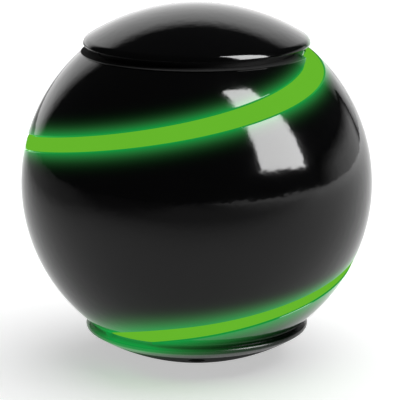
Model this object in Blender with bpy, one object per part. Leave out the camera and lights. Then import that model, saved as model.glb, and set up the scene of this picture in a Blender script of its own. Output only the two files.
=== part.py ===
"""Hidden maze ball: a gloss black ball with a lit green ribbon wound round it.

A steel ball is rolled blind from the start deck under the top cap, down through five stacked
maze levels, into the goal cup. Levels 1, 3 and 5 are keyed to the body shell. Levels 2 and 4 turn
with the spindle, which the top cap drives. The steel ball closes the goal contacts in the cup,
and two green LEDs then light the ribbon. The cap pulls straight up to load the steel ball.

Lengths are in millimetres from the ball's centre, and become metres when a mesh is finished.
"""

import math

import bmesh
import bpy
from mathutils import Matrix, Vector

MM = 0.001
GAP = 0.3                     # clearance between pieces that touch
ROUND = 32                    # sides of a large turned piece
SMALL_ROUND = 10              # sides of a screw or a small hole
OFF_MERIDIAN = 7.0            # turns a boss or hole so that its corners miss a turned piece's edges

# Driving sizes of the ball
BALL_R = 50.0
WALL = 2.8
INNER_R = BALL_R - WALL
FOOT_Z = -50.0                # the surface that the ball stands on

# Upper opening and top cap
SHOULDER_Z = 38.1             # flat land round the upper opening
NECK_R = 28.0
CAP_RIM_R = 32.1
CAP_RIM_Z = 40.2
CAP_CROWN_R = 58.0
CAP_CROWN_Z = -6.8            # height of the crown arc's centre
CAP_CORNER_R = 2.4
CAP_WALL = 1.8
CAP_SCREW_R = 18.0

# Lower opening and base dish
LOWER_Z = -39.3
FLANGE_R = 22.0
BASE_RIM_R = 31.9
BASE_RIM_Z = -40.6
BASE_CORNER_R = 1.0
BASE_NECK_R = 29.6
BASE_NECK_WALL = 1.4
BASE_WALL = 2.0
BASE_FLAT_Z = -49.75
BASE_FLOOR_Z = BASE_FLAT_Z + 1.9
BASE_SCREW_R = 25.0
BASE_SCREW_LENGTH = 4.7

# Battery door: a coin slot turns it, and its lugs then drop through the slots in the dish
DOOR_FLANGE_R = 9.3
DOOR_NECK_R = 7.3
DOOR_LUG_R = 9.0
DOOR_RECESS = 0.9
CELL_R = 5.8
CELL_H = 5.4

# Green ribbon: it winds evenly about an axis that leans forward, and widens towards its ends
RIBBON_TOP_LAT = 50.2
RIBBON_FALL = 0.2017          # degrees of latitude for each degree of turn
RIBBON_LEAN = 2.5             # lean of its axis
RIBBON_TURN = 2 * RIBBON_TOP_LAT / RIBBON_FALL
RIBBON_TAIL_TURN = 455.0      # from here the ribbon bends down to the lower edge
RIBBON_TAIL = 0.0018          # degrees of latitude for each squared degree past that turn
RIBBON_HALF_LAT = 2.25
RIBBON_FLARE_LAT = 2.3
GROOVE_FLOOR_R = 48.4
RIBBON_INNER_R = GROOVE_FLOOR_R + GAP
RIBBON_OUTER_R = 49.8
RIBBON_STEP = 8.0             # degrees between sections
LED_TURNS = (30.0, 448.0)

# Maze
STEEL_R = 3.175
LANE = 7.3
FENCE = 1.5
HUB_R = 8.0
PITCH = 9.8
PLATE = 1.8
LEVELS = 5
STACK_TOP = PITCH * LEVELS / 2
RUNNING = 0.2                 # half of the clearance between two levels
SPOKES = 12
SPOKE_DEG = 4.5
RIB_ANGLES = (30.0, 150.0, 270.0)
RIB_HALF = 1.2
RIB_OUTER_LEVEL_R = 43.8
RIB_INNER_LEVEL_R = 36.0
OUTER_LEVEL_TAB_R = 45.2
INNER_LEVEL_TAB_R = 39.3

# Spindle
HEX_APOTHEM = 3.5
JOURNAL_R = 3.0
CLIP_Z = 27.6

# LED board under the maze
BOARD_Z = -41.7
BOARD_SCREW_R = 16.0

# Each level: lanes, open bays of each fence between lanes, spokes across each lane, drop holes
# as (lane, bay). Lanes count outwards from 0, and bay n lies just after spoke n.
MAZE = (
    {
        "lanes": 3, "open": ((1, 8), (4, 10)),
        "spokes": ((3,), (1, 6), (0, 5, 8)), "drop": ((2, 9),),
    },
    {
        "lanes": 4, "open": ((2,), (5, 11), (0, 7)),
        "spokes": ((7,), (3, 9), (1, 6), (2, 10)), "drop": ((3, 2),),
    },
    {
        "lanes": 4, "open": ((6, 10), (3,), (1, 9)),
        "spokes": ((0,), (2, 8), (4, 11), (5, 7)), "drop": ((1, 6),),
    },
    {
        "lanes": 4, "open": ((4,), (0, 8), (3, 10)),
        "spokes": ((9,), (5, 10), (2, 7), (1, 8)), "drop": ((2, 0),),
    },
    {
        "lanes": 3, "open": ((5, 9), (2,)),
        "spokes": ((1,), (0, 7), (4, 6)), "drop": ((1, 10),),
    },
)
START_HOLE_BAY = 4
START_STOP = 3
START_ANGLE = 270.0
DECK_SCREW_R = 37.0


# ---------------------------------------------------------------- helpers

def clear_scene():
    for obj in list(bpy.data.objects):
        bpy.data.objects.remove(obj, do_unlink=True)


def make_material(name, rgb, roughness, metallic=0.0):
    material = bpy.data.materials.new(name)
    material.use_nodes = True
    shader = material.node_tree.nodes["Principled BSDF"]
    shader.inputs["Base Color"].default_value = (*rgb, 1.0)
    shader.inputs["Roughness"].default_value = roughness
    shader.inputs["Metallic"].default_value = metallic
    return material


def make_empty(name, parent=None, location=(0, 0, 0)):
    empty = bpy.data.objects.new(name, None)
    bpy.context.scene.collection.objects.link(empty)
    empty.parent = parent
    empty.location = Vector(location) * MM
    return empty


def add_object(name, bm, material, parent, smooth=30.0):
    """Turns a bmesh in millimetres into an object in metres, with outward faces."""
    bmesh.ops.recalc_face_normals(bm, faces=bm.faces[:])
    bmesh.ops.scale(bm, vec=(MM, MM, MM), verts=bm.verts[:])
    mesh = bpy.data.meshes.new(name)
    bm.to_mesh(mesh)
    bm.free()
    if material:
        mesh.materials.append(material)
    mesh.shade_smooth()
    mesh.set_sharp_from_angle(angle=math.radians(smooth))
    obj = bpy.data.objects.new(name, mesh)
    bpy.context.scene.collection.objects.link(obj)
    obj.parent = parent
    return obj


def arc(centre_r, centre_z, radius, start, end, steps):
    """Points of an arc in the r-z plane. Angles are in degrees above the horizontal."""
    points = []
    for i in range(steps + 1):
        angle = math.radians(start + (end - start) * i / steps)
        points.append((centre_r + radius * math.cos(angle), centre_z + radius * math.sin(angle)))
    return points


def latitude_at(radius, z):
    return math.degrees(math.asin(z / radius))


def radius_at(sphere_r, z):
    return math.sqrt(sphere_r ** 2 - z ** 2)


def turned_mesh(profile, segments):
    """A closed r-z profile spun about Z. An edge that lies on the axis makes no face."""
    bm = bmesh.new()
    verts = [bm.verts.new((r, 0.0, z)) for r, z in profile]
    edges = []
    for first, second in zip(verts, verts[1:] + verts[:1]):
        if max(first.co.x, second.co.x) > 0.001:
            edges.append(bm.edges.new((first, second)))
    bmesh.ops.spin(
        bm, geom=verts + edges, cent=(0, 0, 0), axis=(0, 0, 1), dvec=(0, 0, 0),
        angle=2 * math.pi, steps=segments, use_merge=True, use_duplicate=False,
    )
    bmesh.ops.remove_doubles(bm, verts=bm.verts[:], dist=0.001)
    return bm


def turned(name, profile, segments, material, parent):
    return add_object(name, turned_mesh(profile, segments), material, parent)


def prism_mesh(outline, low, high):
    """An x-y outline extruded from low to high."""
    bm = bmesh.new()
    face = bm.faces.new([bm.verts.new((x, y, low)) for x, y in outline])
    grown = bmesh.ops.extrude_face_region(bm, geom=[face])
    top = [v for v in grown["geom"] if isinstance(v, bmesh.types.BMVert)]
    bmesh.ops.translate(bm, vec=(0, 0, high - low), verts=top)
    return bm


def polygon(radius, sides, turn=0.0):
    return [
        (radius * math.cos(math.radians(turn + 360 * i / sides)),
         radius * math.sin(math.radians(turn + 360 * i / sides)))
        for i in range(sides)
    ]


def box_mesh(size, centre):
    bm = bmesh.new()
    bmesh.ops.create_cube(bm, size=1.0)
    bmesh.ops.scale(bm, vec=size, verts=bm.verts[:])
    bmesh.ops.translate(bm, vec=centre, verts=bm.verts[:])
    return bm


def cylinder_mesh(radius, low, high, centre=(0.0, 0.0), sides=SMALL_ROUND):
    bm = prism_mesh(polygon(radius, sides, OFF_MERIDIAN), low, high)
    bmesh.ops.translate(bm, vec=(*centre, 0), verts=bm.verts[:])
    return bm


def transformed(bm, matrix):
    bmesh.ops.transform(bm, matrix=matrix, verts=bm.verts[:])
    return bm


def cutter(name, bm, parent):
    obj = add_object(name, bm, None, parent)
    obj.hide_render = True
    obj.display_type = "WIRE"
    return obj


def combine(obj, other, operation):
    modifier = obj.modifiers.new(other.name, "BOOLEAN")
    modifier.object = other
    modifier.operation = operation
    modifier.solver = "EXACT"


def turn_z(degrees):
    return Matrix.Rotation(math.radians(degrees), 4, "Z")


def polar(radius, degrees, z=0.0):
    angle = math.radians(degrees)
    return Vector((radius * math.cos(angle), radius * math.sin(angle), z))


def on_sphere(radius, azimuth, latitude):
    lat = math.radians(latitude)
    return polar(radius * math.cos(lat), azimuth, radius * math.sin(lat))


def smooth_route(points, steps):
    """Points of a Catmull-Rom curve through the route's own points."""
    ends = [points[0] * 2 - points[1], *points, points[-1] * 2 - points[-2]]
    route = []
    for i in range(1, len(ends) - 2):
        a, b, c, d = ends[i - 1:i + 3]
        for k in range(steps):
            t = k / steps
            route.append(
                0.5 * (2 * b + (c - a) * t + (2 * a - 5 * b + 4 * c - d) * t ** 2
                       + (3 * b - 3 * c + d - a) * t ** 3)
            )
    route.append(points[-1])
    return route


def wire(name, route, radius, material, parent, resolution=2):
    curve = bpy.data.curves.new(name, "CURVE")
    curve.dimensions = "3D"
    curve.bevel_depth = radius * MM
    curve.bevel_resolution = resolution
    curve.use_fill_caps = True
    spline = curve.splines.new("POLY")
    spline.points.add(len(route) - 1)
    for point, place in zip(spline.points, route):
        point.co = (*(place * MM), 1.0)
    curve.materials.append(material)
    obj = bpy.data.objects.new(name, curve)
    bpy.context.scene.collection.objects.link(obj)
    obj.parent = parent
    return obj


def screw(name, place, up, length, shank_r, head_r, head_h, material, parent):
    """A pan-head screw. place is under the head, and the shank points up or down from there."""
    way = 1.0 if up else -1.0
    profile = [
        (0.0, way * length), (shank_r, way * (length - 0.6)), (shank_r, 0.0), (head_r, 0.0),
        (head_r * 0.7, -way * head_h), (0.0, -way * head_h),
    ]
    obj = turned(name, profile, SMALL_ROUND, material, parent)
    obj.location = Vector(place) * MM
    return obj


# ---------------------------------------------------------------- ribbon

def ribbon_latitude(turn):
    tail = RIBBON_TAIL * max(turn - RIBBON_TAIL_TURN, 0.0) ** 2
    return RIBBON_TOP_LAT - RIBBON_FALL * turn - RIBBON_LEAN * math.sin(math.radians(turn)) - tail


def ribbon_half(turn):
    away = abs(2 * turn / RIBBON_TURN - 1)
    return RIBBON_HALF_LAT + RIBBON_FLARE_LAT * min(away, 1.0) ** 3


def ribbon_mesh(inner_r, outer_r, spare_lat):
    """The ribbon's band between two radii, run past both openings and capped at its ends."""
    bm = bmesh.new()
    overrun = 30.0
    count = round((RIBBON_TURN + 2 * overrun) / RIBBON_STEP)
    rings = []
    for i in range(count + 1):
        turn = -overrun + (RIBBON_TURN + 2 * overrun) * i / count
        latitude = ribbon_latitude(turn)
        half = ribbon_half(turn) + spare_lat
        corners = ((inner_r, half), (outer_r, half), (outer_r, -half), (inner_r, -half))
        rings.append([bm.verts.new(on_sphere(r, -turn, latitude + lat)) for r, lat in corners])
    for first, second in zip(rings, rings[1:]):
        for i in range(4):
            bm.faces.new((first[i], first[(i + 1) % 4], second[(i + 1) % 4], second[i]))
    bm.faces.new(rings[0])
    bm.faces.new(rings[-1])
    bmesh.ops.recalc_face_normals(bm, faces=bm.faces[:])
    return bm


def slice_flat(bm, z, keep_below):
    """Cuts a closed mesh at height z and closes the cut."""
    way = 1.0 if keep_below else -1.0
    cut = bmesh.ops.bisect_plane(
        bm, geom=bm.verts[:] + bm.edges[:] + bm.faces[:], dist=0.0001,
        plane_co=(0, 0, z), plane_no=(0, 0, way), clear_outer=True,
    )
    edges = [e for e in cut["geom_cut"] if isinstance(e, bmesh.types.BMEdge)]
    bmesh.ops.edgeloop_fill(bm, edges=edges)


def build_ribbon(material, parent):
    bm = ribbon_mesh(RIBBON_INNER_R, RIBBON_OUTER_R, 0.0)
    slice_flat(bm, SHOULDER_Z - 0.1, True)
    slice_flat(bm, LOWER_Z + 0.1, False)
    return add_object("light_ribbon", bm, material, parent)


# ---------------------------------------------------------------- body shell

def rib_mesh(points, angle, half):
    """A fin in the r-z plane, centred on an azimuth."""
    bm = bmesh.new()
    face = bm.faces.new([bm.verts.new((r, -half, z)) for r, z in points])
    grown = bmesh.ops.extrude_face_region(bm, geom=[face])
    side = [v for v in grown["geom"] if isinstance(v, bmesh.types.BMVert)]
    bmesh.ops.translate(bm, vec=(0, 2 * half, 0), verts=side)
    return transformed(bm, turn_z(angle))


def rib_outline(low, step, high, spare=0.0, outer_r=INNER_R + 1.0):
    """The fin stands close to the wide levels up to step, and closer in above it."""
    outside = arc(0, 0, outer_r, latitude_at(outer_r, low), latitude_at(outer_r, high), 4)
    return [
        *outside, (RIB_INNER_LEVEL_R - spare, high), (RIB_INNER_LEVEL_R - spare, step),
        (RIB_OUTER_LEVEL_R - spare, step), (RIB_OUTER_LEVEL_R - spare, low),
    ]


def build_shell_upper(material, parent):
    top_lat = latitude_at(BALL_R, SHOULDER_Z - 0.4)
    edge_r = radius_at(BALL_R, SHOULDER_Z)
    under = SHOULDER_Z - 2.2
    profile = [
        *arc(0, 0, BALL_R, 0.2, top_lat, 8),
        (edge_r - 0.1, SHOULDER_Z - 0.08), (edge_r - 0.6, SHOULDER_Z), (NECK_R + 0.3, SHOULDER_Z),
        (NECK_R, SHOULDER_Z - 0.3), (NECK_R, under),
        *arc(0, 0, INNER_R, latitude_at(INNER_R, under), 0.2, 5),
    ]
    shell = turned("body_shell_upper", profile, ROUND, material, parent)
    outline = rib_outline(3.2, PITCH * 1.5 + 0.2, STACK_TOP - 1.7)
    for i, angle in enumerate(RIB_ANGLES):
        combine(shell, cutter(f"upper_rib_{i}", rib_mesh(outline, angle, RIB_HALF), parent), "UNION")
        boss = cylinder_mesh(2.3, STACK_TOP + 2.3, 30.3, polar(DECK_SCREW_R, angle)[:2])
        combine(shell, cutter(f"deck_boss_{i}", boss, parent), "UNION")
        hole = cylinder_mesh(0.95, STACK_TOP, 29.6, polar(DECK_SCREW_R, angle)[:2])
        combine(shell, cutter(f"deck_boss_hole_{i}", hole, parent), "DIFFERENCE")
    return shell


def build_shell_lower(material, parent):
    low_lat = latitude_at(BALL_R, LOWER_Z + 0.4)
    edge_r = radius_at(BALL_R, LOWER_Z)
    over = LOWER_Z + 2.0
    profile = [
        (46.9, -0.17), *arc(0, 0, BALL_R, -0.2, low_lat, 8),
        (edge_r - 0.1, LOWER_Z + 0.08), (edge_r - 0.6, LOWER_Z), (FLANGE_R, LOWER_Z), (FLANGE_R, over),
        *arc(0, 0, INNER_R, latitude_at(INNER_R, over), latitude_at(INNER_R, -4.4), 4),
        (45.8, -3.0), (45.8, 2.5), (46.9, 2.5),
    ]
    shell = turned("body_shell_lower", profile, ROUND, material, parent)
    outline = [(r, -z) for r, z in rib_outline(3.4, PITCH * 1.5 + 0.2, STACK_TOP - 0.6)]
    for i, angle in enumerate(RIB_ANGLES):
        combine(shell, cutter(f"lower_rib_{i}", rib_mesh(outline, angle, RIB_HALF), parent), "UNION")
        hole = cylinder_mesh(1.2, LOWER_Z - 1, LOWER_Z + 3, polar(BASE_SCREW_R, angle)[:2])
        combine(shell, cutter(f"base_screw_hole_{i}", hole, parent), "DIFFERENCE")
    return shell


def led_frame(turn):
    """Points +Z of an LED out along the ball's radius, at the ribbon's middle."""
    outward = on_sphere(1.0, -turn, ribbon_latitude(turn))
    return outward.to_track_quat("Z", "Y").to_matrix().to_4x4()


def build_leds(shells, material, parent):
    base_r, tip_r = 43.2, GROOVE_FLOOR_R - 0.2
    profile = [
        (0.0, base_r), (1.9, base_r), (1.9, base_r + 0.9), (1.5, base_r + 0.9),
        (1.5, tip_r - 0.9), (0.9, tip_r - 0.2), (0.0, tip_r),
    ]
    for name, turn, shell in zip(("led_upper", "led_lower"), LED_TURNS, shells):
        led = turned(name, profile, SMALL_ROUND, material, parent)
        led.matrix_local = led_frame(turn)
        # The mesh is already in metres, so only its turn comes from the frame.
        hole = transformed(cylinder_mesh(1.8, 46.0, BALL_R - 0.6), led_frame(turn))
        combine(shell, cutter(f"{name}_hole", hole, parent), "DIFFERENCE")


# ---------------------------------------------------------------- caps

def cap_outline(rim_r, rim_z, crown_r, crown_z, corner_r, steps):
    """From the rim's lower edge up round the corner and over the crown to the axis."""
    corner_centre_r = rim_r - corner_r
    corner_centre_z = crown_z + math.sqrt((crown_r - corner_r) ** 2 - corner_centre_r ** 2)
    join = math.degrees(math.atan2(corner_centre_z - crown_z, corner_centre_r))
    start = math.degrees(math.asin((rim_z + 0.3 - corner_centre_z) / corner_r))
    corner = arc(corner_centre_r, corner_centre_z, corner_r, start, join, 3)
    crown = arc(0, crown_z, crown_r, join, 90.0, steps)[1:]
    return [(corner[0][0] - 0.35, rim_z), *corner, *crown]


def build_top_cap(plastic, rubber, steel, parent):
    outer = cap_outline(CAP_RIM_R, CAP_RIM_Z, CAP_CROWN_R, CAP_CROWN_Z, CAP_CORNER_R, 6)
    inner = cap_outline(
        CAP_RIM_R - CAP_WALL, CAP_RIM_Z, CAP_CROWN_R - CAP_WALL, CAP_CROWN_Z, CAP_CORNER_R - 1.0, 4,
    )
    dome = turned("top_cap_dome", [*outer, *reversed(inner)], ROUND, plastic, parent)
    liner_low, liner_high = CAP_RIM_Z + 0.2, CAP_RIM_Z + 1.5
    hub_low, socket_top = 31.6, 34.4
    liner_profile = [
        (7.2, hub_low), (7.2, liner_low - 1.2), (8.4, liner_low), (26.0, liner_low), (26.0, 36.5),
        (NECK_R - 0.4, 36.5), (NECK_R - 0.4, liner_high), (0.0, liner_high), (0.0, 37.8), (4.9, 37.8),
        (4.9, socket_top - 0.6), (2.0, socket_top - 0.6), (2.0, hub_low),
    ]
    liner = turned("top_cap_liner", liner_profile, ROUND, plastic, parent)
    corner = (HEX_APOTHEM + GAP) / math.cos(math.radians(30))
    socket = prism_mesh(polygon(corner, 6), hub_low - 1, socket_top)
    combine(liner, cutter("cap_hex_socket", socket, parent), "DIFFERENCE")
    for i, angle in enumerate(RIB_ANGLES):
        place = polar(CAP_SCREW_R, angle)
        boss = cylinder_mesh(2.4, liner_high + GAP, 46.6, place[:2])
        combine(dome, cutter(f"cap_boss_{i}", boss, parent), "UNION")
        pilot = cylinder_mesh(1.1, liner_low, 45.6, place[:2])
        combine(dome, cutter(f"cap_pilot_{i}", pilot, parent), "DIFFERENCE")
        hole = cylinder_mesh(1.2, liner_low - 1, liner_high + 1, place[:2])
        combine(liner, cutter(f"liner_hole_{i}", hole, parent), "DIFFERENCE")
        under_head = (place.x, place.y, liner_low - GAP)
        screw(f"cap_screw_{i + 1}", under_head, True, 5.0, 0.8, 1.9, 1.1, steel, parent)
    ring = [
        (3.75 + 0.7 * math.cos(math.pi / 4 * i), 35.7 + 0.4 * math.sin(math.pi / 4 * i))
        for i in range(8)
    ]
    turned("cap_grip_ring", ring, 16, rubber, parent)


def sector(inner_r, outer_r, middle, half_inner, half_outer):
    """An x-y outline between two radii, centred on an angle."""
    rim = [polar(outer_r, middle + half_outer * t)[:2] for t in (-1, -0.3, 0.4, 1)]
    return [polar(inner_r, middle - half_inner)[:2], *rim, polar(inner_r, middle + half_inner)[:2]]


def build_base(plastic, rubber, steel, parent):
    outer = cap_outline(BASE_RIM_R, -BASE_RIM_Z, CAP_CROWN_R, CAP_CROWN_Z, BASE_CORNER_R, 6)
    inner = cap_outline(
        BASE_RIM_R - BASE_WALL, -BASE_RIM_Z, CAP_CROWN_R - BASE_WALL, CAP_CROWN_Z, BASE_CORNER_R, 4,
    )
    flat_r = radius_at(CAP_CROWN_R, BASE_FLAT_Z + CAP_CROWN_Z)
    floor_r = radius_at(CAP_CROWN_R - BASE_WALL, BASE_FLOOR_Z + CAP_CROWN_Z)
    outer = [(r, -z) for r, z in outer if r > flat_r + 1]
    inner = [(r, -z) for r, z in inner if floor_r + 1 < r < BASE_NECK_R - BASE_NECK_WALL - 0.2]
    groove_r, groove_in_r, groove_z = 12.5, 10.3, BASE_FLAT_Z + 0.7
    recess_r, recess_z = DOOR_FLANGE_R + GAP, BASE_FLAT_Z + DOOR_RECESS
    hole_r, neck_z = DOOR_NECK_R + GAP, LOWER_Z - GAP
    profile = [
        *outer, (flat_r, BASE_FLAT_Z), (groove_r, BASE_FLAT_Z), (groove_r, groove_z), (groove_in_r, groove_z),
        (groove_in_r, BASE_FLAT_Z), (recess_r, BASE_FLAT_Z), (recess_r, recess_z), (hole_r, recess_z),
        (hole_r, BASE_FLOOR_Z), (floor_r, BASE_FLOOR_Z), *reversed(inner),
        (BASE_NECK_R - BASE_NECK_WALL, -41.0), (BASE_NECK_R - BASE_NECK_WALL, neck_z),
        (BASE_NECK_R, neck_z), (BASE_NECK_R, BASE_RIM_Z),
    ]
    dish = turned("base_dish", profile, ROUND, plastic, parent)
    for i, angle in enumerate(RIB_ANGLES):
        place = polar(BASE_SCREW_R, angle)
        boss = cylinder_mesh(3.0, -43.6, LOWER_Z - GAP, place[:2], 12)
        combine(dish, cutter(f"base_boss_{i}", boss, parent), "UNION")
        bore = cylinder_mesh(1.2, -50, -37, place[:2])
        combine(dish, cutter(f"base_bore_{i}", bore, parent), "DIFFERENCE")
        well = cylinder_mesh(2.4, -52, -41.5, place[:2])
        combine(dish, cutter(f"base_well_{i}", well, parent), "DIFFERENCE")
        under_head = (place.x, place.y, -41.5 - GAP)
        screw(f"base_screw_{i + 1}", under_head, True, BASE_SCREW_LENGTH, 0.9, 2.0, 1.2, steel, parent)
    for i in range(3):
        outline = sector(6.5, DOOR_LUG_R + GAP, 60 + 120 * i, 20, 18)
        slot = prism_mesh(outline, recess_z - 0.2, BASE_FLOOR_Z + 1)
        combine(dish, cutter(f"door_slot_{i}", slot, parent), "DIFFERENCE")
        place = polar(BOARD_SCREW_R, 90 + 120 * i)
        post = cylinder_mesh(2.0, -47.5, BOARD_Z - GAP, place[:2])
        combine(dish, cutter(f"board_post_{i}", post, parent), "UNION")
        pilot = cylinder_mesh(0.9, -46.0, BOARD_Z + 1, place[:2])
        combine(dish, cutter(f"board_pilot_{i}", pilot, parent), "DIFFERENCE")
    ring_profile = [
        (10.6, FOOT_Z), (12.2, FOOT_Z), (12.2, groove_z - GAP), (10.6, groove_z - GAP),
    ]
    turned("foot_ring", ring_profile, 36, rubber, parent)


def build_door(plastic, parent):
    skin, flange_top = BASE_FLAT_Z + 0.1, BASE_FLAT_Z + DOOR_RECESS - 0.25
    lug_low, lug_high = BASE_FLOOR_Z + GAP, BASE_FLOOR_Z + GAP + 0.65
    profile = [
        (0.0, skin), (DOOR_FLANGE_R, skin), (DOOR_FLANGE_R, flange_top), (DOOR_NECK_R, flange_top),
        (DOOR_NECK_R, lug_high), (6.1, lug_high), (6.1, skin + 1.5), (0.0, skin + 1.5),
    ]
    door = turned("battery_door", profile, 36, plastic, parent)
    for i in range(3):
        lug = prism_mesh(sector(6.6, DOOR_LUG_R, 120 * i, 15, 13), lug_low, lug_high)
        combine(door, cutter(f"door_lug_{i}", lug, parent), "UNION")
    slot = box_mesh((11.0, 2.0, 1.6), (0, 0, skin))
    combine(door, cutter("door_coin_slot", slot, parent), "DIFFERENCE")


# ---------------------------------------------------------------- maze

def bay_angles():
    """Sector bounds: a thin spoke at each hour, and two halves of the bay after it."""
    bounds = []
    for i in range(SPOKES):
        middle = 360.0 * i / SPOKES
        bounds += [middle - SPOKE_DEG / 2, middle + SPOKE_DEG / 2, middle + 180.0 / SPOKES]
    return bounds


def lane_radii(lanes):
    """Band bounds from the bore outwards: hub, then a lane and its fence in turn."""
    radii = [HUB_R]
    for _ in range(lanes):
        radii.append(radii[-1] + LANE)
        radii.append(radii[-1] + FENCE)
    return radii


def polar_plate(bore, radii, cell, low, fence):
    """A round plate with walls on it. bore(angle) is the inner radius in mm. cell(band, sector) is
    None where there is no plate, False for floor and True for wall. Band 0 lies next to the bore."""
    bm = bmesh.new()
    is_wall = bm.faces.layers.int.new("wall")
    angles = bay_angles()
    count = len(angles)
    grid = {}

    def corner(ring, step):
        step %= count
        if (ring, step) not in grid:
            radius = bore(angles[step]) if ring == 0 else radii[ring - 1]
            grid[ring, step] = bm.verts.new(polar(radius, angles[step], low))
        return grid[ring, step]

    for band in range(len(radii)):
        for sector in range(count):
            kind = cell(band, sector)
            if kind is None:
                continue
            face = bm.faces.new((
                corner(band, sector), corner(band + 1, sector),
                corner(band + 1, sector + 1), corner(band, sector + 1),
            ))
            face[is_wall] = int(kind)
    sheet = bmesh.ops.extrude_face_region(bm, geom=bm.faces[:])["geom"]
    top = [g for g in sheet if isinstance(g, bmesh.types.BMVert)]
    bmesh.ops.translate(bm, vec=(0, 0, PLATE), verts=top)
    walls = [g for g in sheet if isinstance(g, bmesh.types.BMFace) and g[is_wall]]
    raised = bmesh.ops.extrude_face_region(bm, geom=walls)["geom"]
    bmesh.ops.delete(bm, geom=walls, context="FACES_ONLY")
    bmesh.ops.translate(
        bm, vec=(0, 0, fence), verts=[g for g in raised if isinstance(g, bmesh.types.BMVert)],
    )
    bmesh.ops.dissolve_limit(
        bm, angle_limit=math.radians(1), verts=bm.verts[:], edges=bm.edges[:], delimit=set(),
    )
    return bm


def round_bore(radius):
    return lambda angle: radius


def hex_bore(apothem):
    return lambda angle: apothem / math.cos(math.radians(angle % 60 - 30))


def near_rib(sector):
    """True for the three sectors round each rib's spoke."""
    return any(sector in (s - 1, s, s + 1) for s in (round(a / 30) * 3 for a in RIB_ANGLES))


def level_cells(plan, fixed):
    lanes = plan["lanes"]

    def cell(band, sector):
        spoke, in_bay = divmod(sector, 3)
        if band == 0:
            return True
        if band > 2 * lanes:
            return False if fixed and near_rib(sector) else None
        lane, is_fence = divmod(band - 1, 2)
        if is_fence:
            if lane == lanes - 1:
                return True
            return not (in_bay and spoke in plan["open"][lane])
        if in_bay and (lane, spoke) in plan["drop"]:
            return None
        return in_bay == 0 and spoke in plan["spokes"][lane]

    return cell


def build_level(index, materials, root, spindle):
    plan = MAZE[index]
    fixed = index % 2 == 0
    low = STACK_TOP - PITCH * (index + 1) + RUNNING
    fence = PITCH - 2 * RUNNING - PLATE
    radii = lane_radii(plan["lanes"])
    if fixed:
        radii.append(INNER_LEVEL_TAB_R if plan["lanes"] == 3 else OUTER_LEVEL_TAB_R)
    bore = round_bore(5.2) if fixed else hex_bore(HEX_APOTHEM + GAP)
    if index == LEVELS - 1:
        bore = round_bore(4.9)
    bm = polar_plate(bore, radii, level_cells(plan, fixed), low, fence)
    parent = root if fixed else spindle
    level = add_object(f"maze_level_{index + 1}", bm, materials[0 if fixed else 1], parent)
    if fixed:
        key_r = (RIB_INNER_LEVEL_R if plan["lanes"] == 3 else RIB_OUTER_LEVEL_R) - GAP
        for i, angle in enumerate(RIB_ANGLES):
            slot = box_mesh((8.0, 2 * (RIB_HALF + GAP), PLATE + 2), (key_r + 4.0, 0, low + PLATE / 2))
            combine(level, cutter(f"key_{index}_{i}", transformed(slot, turn_z(angle)), parent), "DIFFERENCE")
    return level


def build_start_deck(material, steel, parent):
    """The level under the cap: one ring lane with a stop, and the hole down into level 1."""
    radii = [*lane_radii(3)[:5], 34.7, 38.5]

    def cell(band, sector):
        spoke, in_bay = divmod(sector, 3)
        if band == 6:
            return False if near_rib(sector) else None
        if band in (2, 4):
            return True
        if band == 3:
            if in_bay and spoke == START_HOLE_BAY:
                return None
            return in_bay == 0 and spoke == START_STOP
        return False

    low = STACK_TOP + RUNNING
    bm = polar_plate(round_bore(5.9), radii, cell, low, 6.8)
    deck = add_object("start_deck", bm, material, parent)
    for i, angle in enumerate(RIB_ANGLES):
        hole = cylinder_mesh(1.2, low - 1, low + PLATE + 1, polar(DECK_SCREW_R, angle)[:2])
        combine(deck, cutter(f"deck_hole_{i}", hole, parent), "DIFFERENCE")
        place = polar(DECK_SCREW_R, angle, low - GAP)
        screw(f"deck_screw_{i + 1}", place, True, 4.6, 0.65, 1.6, 1.0, steel, parent)
    return deck


def build_spindle(steel, brass, root, parent):
    hex_r = HEX_APOTHEM / math.cos(math.radians(30))
    low, high = -STACK_TOP + RUNNING, 37.2
    profile = [
        (0.0, low), (JOURNAL_R - 0.4, low), (JOURNAL_R, low + 0.4), (JOURNAL_R, -18.0), (2.2, -18.0),
        (2.2, 20.0), (3.3, 22.0), (3.3, CLIP_Z - 0.1), (2.6, CLIP_Z - 0.1), (2.6, CLIP_Z + 0.6),
        (3.3, CLIP_Z + 0.6), (3.3, 35.2), (2.7, 35.2), (2.7, 36.2), (3.3, 36.2), (3.3, high - 0.5),
        (2.8, high), (0.0, high),
    ]
    spindle = turned("spindle", profile, 18, steel, parent)
    for i, (start, end) in enumerate(((-20.6, 24.3), (CLIP_Z + 1.2, 34.2))):
        bar = prism_mesh(polygon(hex_r, 6), start, end)
        combine(spindle, cutter(f"spindle_hex_{i}", bar, parent), "UNION")

    floor = STACK_TOP + RUNNING
    top = floor + PLATE
    upper = [
        (3.6, floor), (5.6, floor), (5.6, top + GAP), (7.2, top + GAP), (7.2, top + 0.8), (3.6, top + 0.8),
    ]
    turned("upper_bush", upper, 18, brass, root)
    lower = [(JOURNAL_R + GAP, low), (4.6, low), (4.6, -21.2), (JOURNAL_R + GAP, -21.2)]
    turned("lower_bush", lower, 18, brass, root)

    # A split ring in the spindle's groove, open over 70 degrees.
    angles = [35.0 + 290.0 * i / 12 for i in range(13)]
    outline = [polar(5.2, a)[:2] for a in angles] + [polar(2.9, a)[:2] for a in reversed(angles)]
    add_object("spindle_clip", prism_mesh(outline, CLIP_Z, CLIP_Z + 0.5), steel, parent)


# ---------------------------------------------------------------- goal, cell and leads

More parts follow.
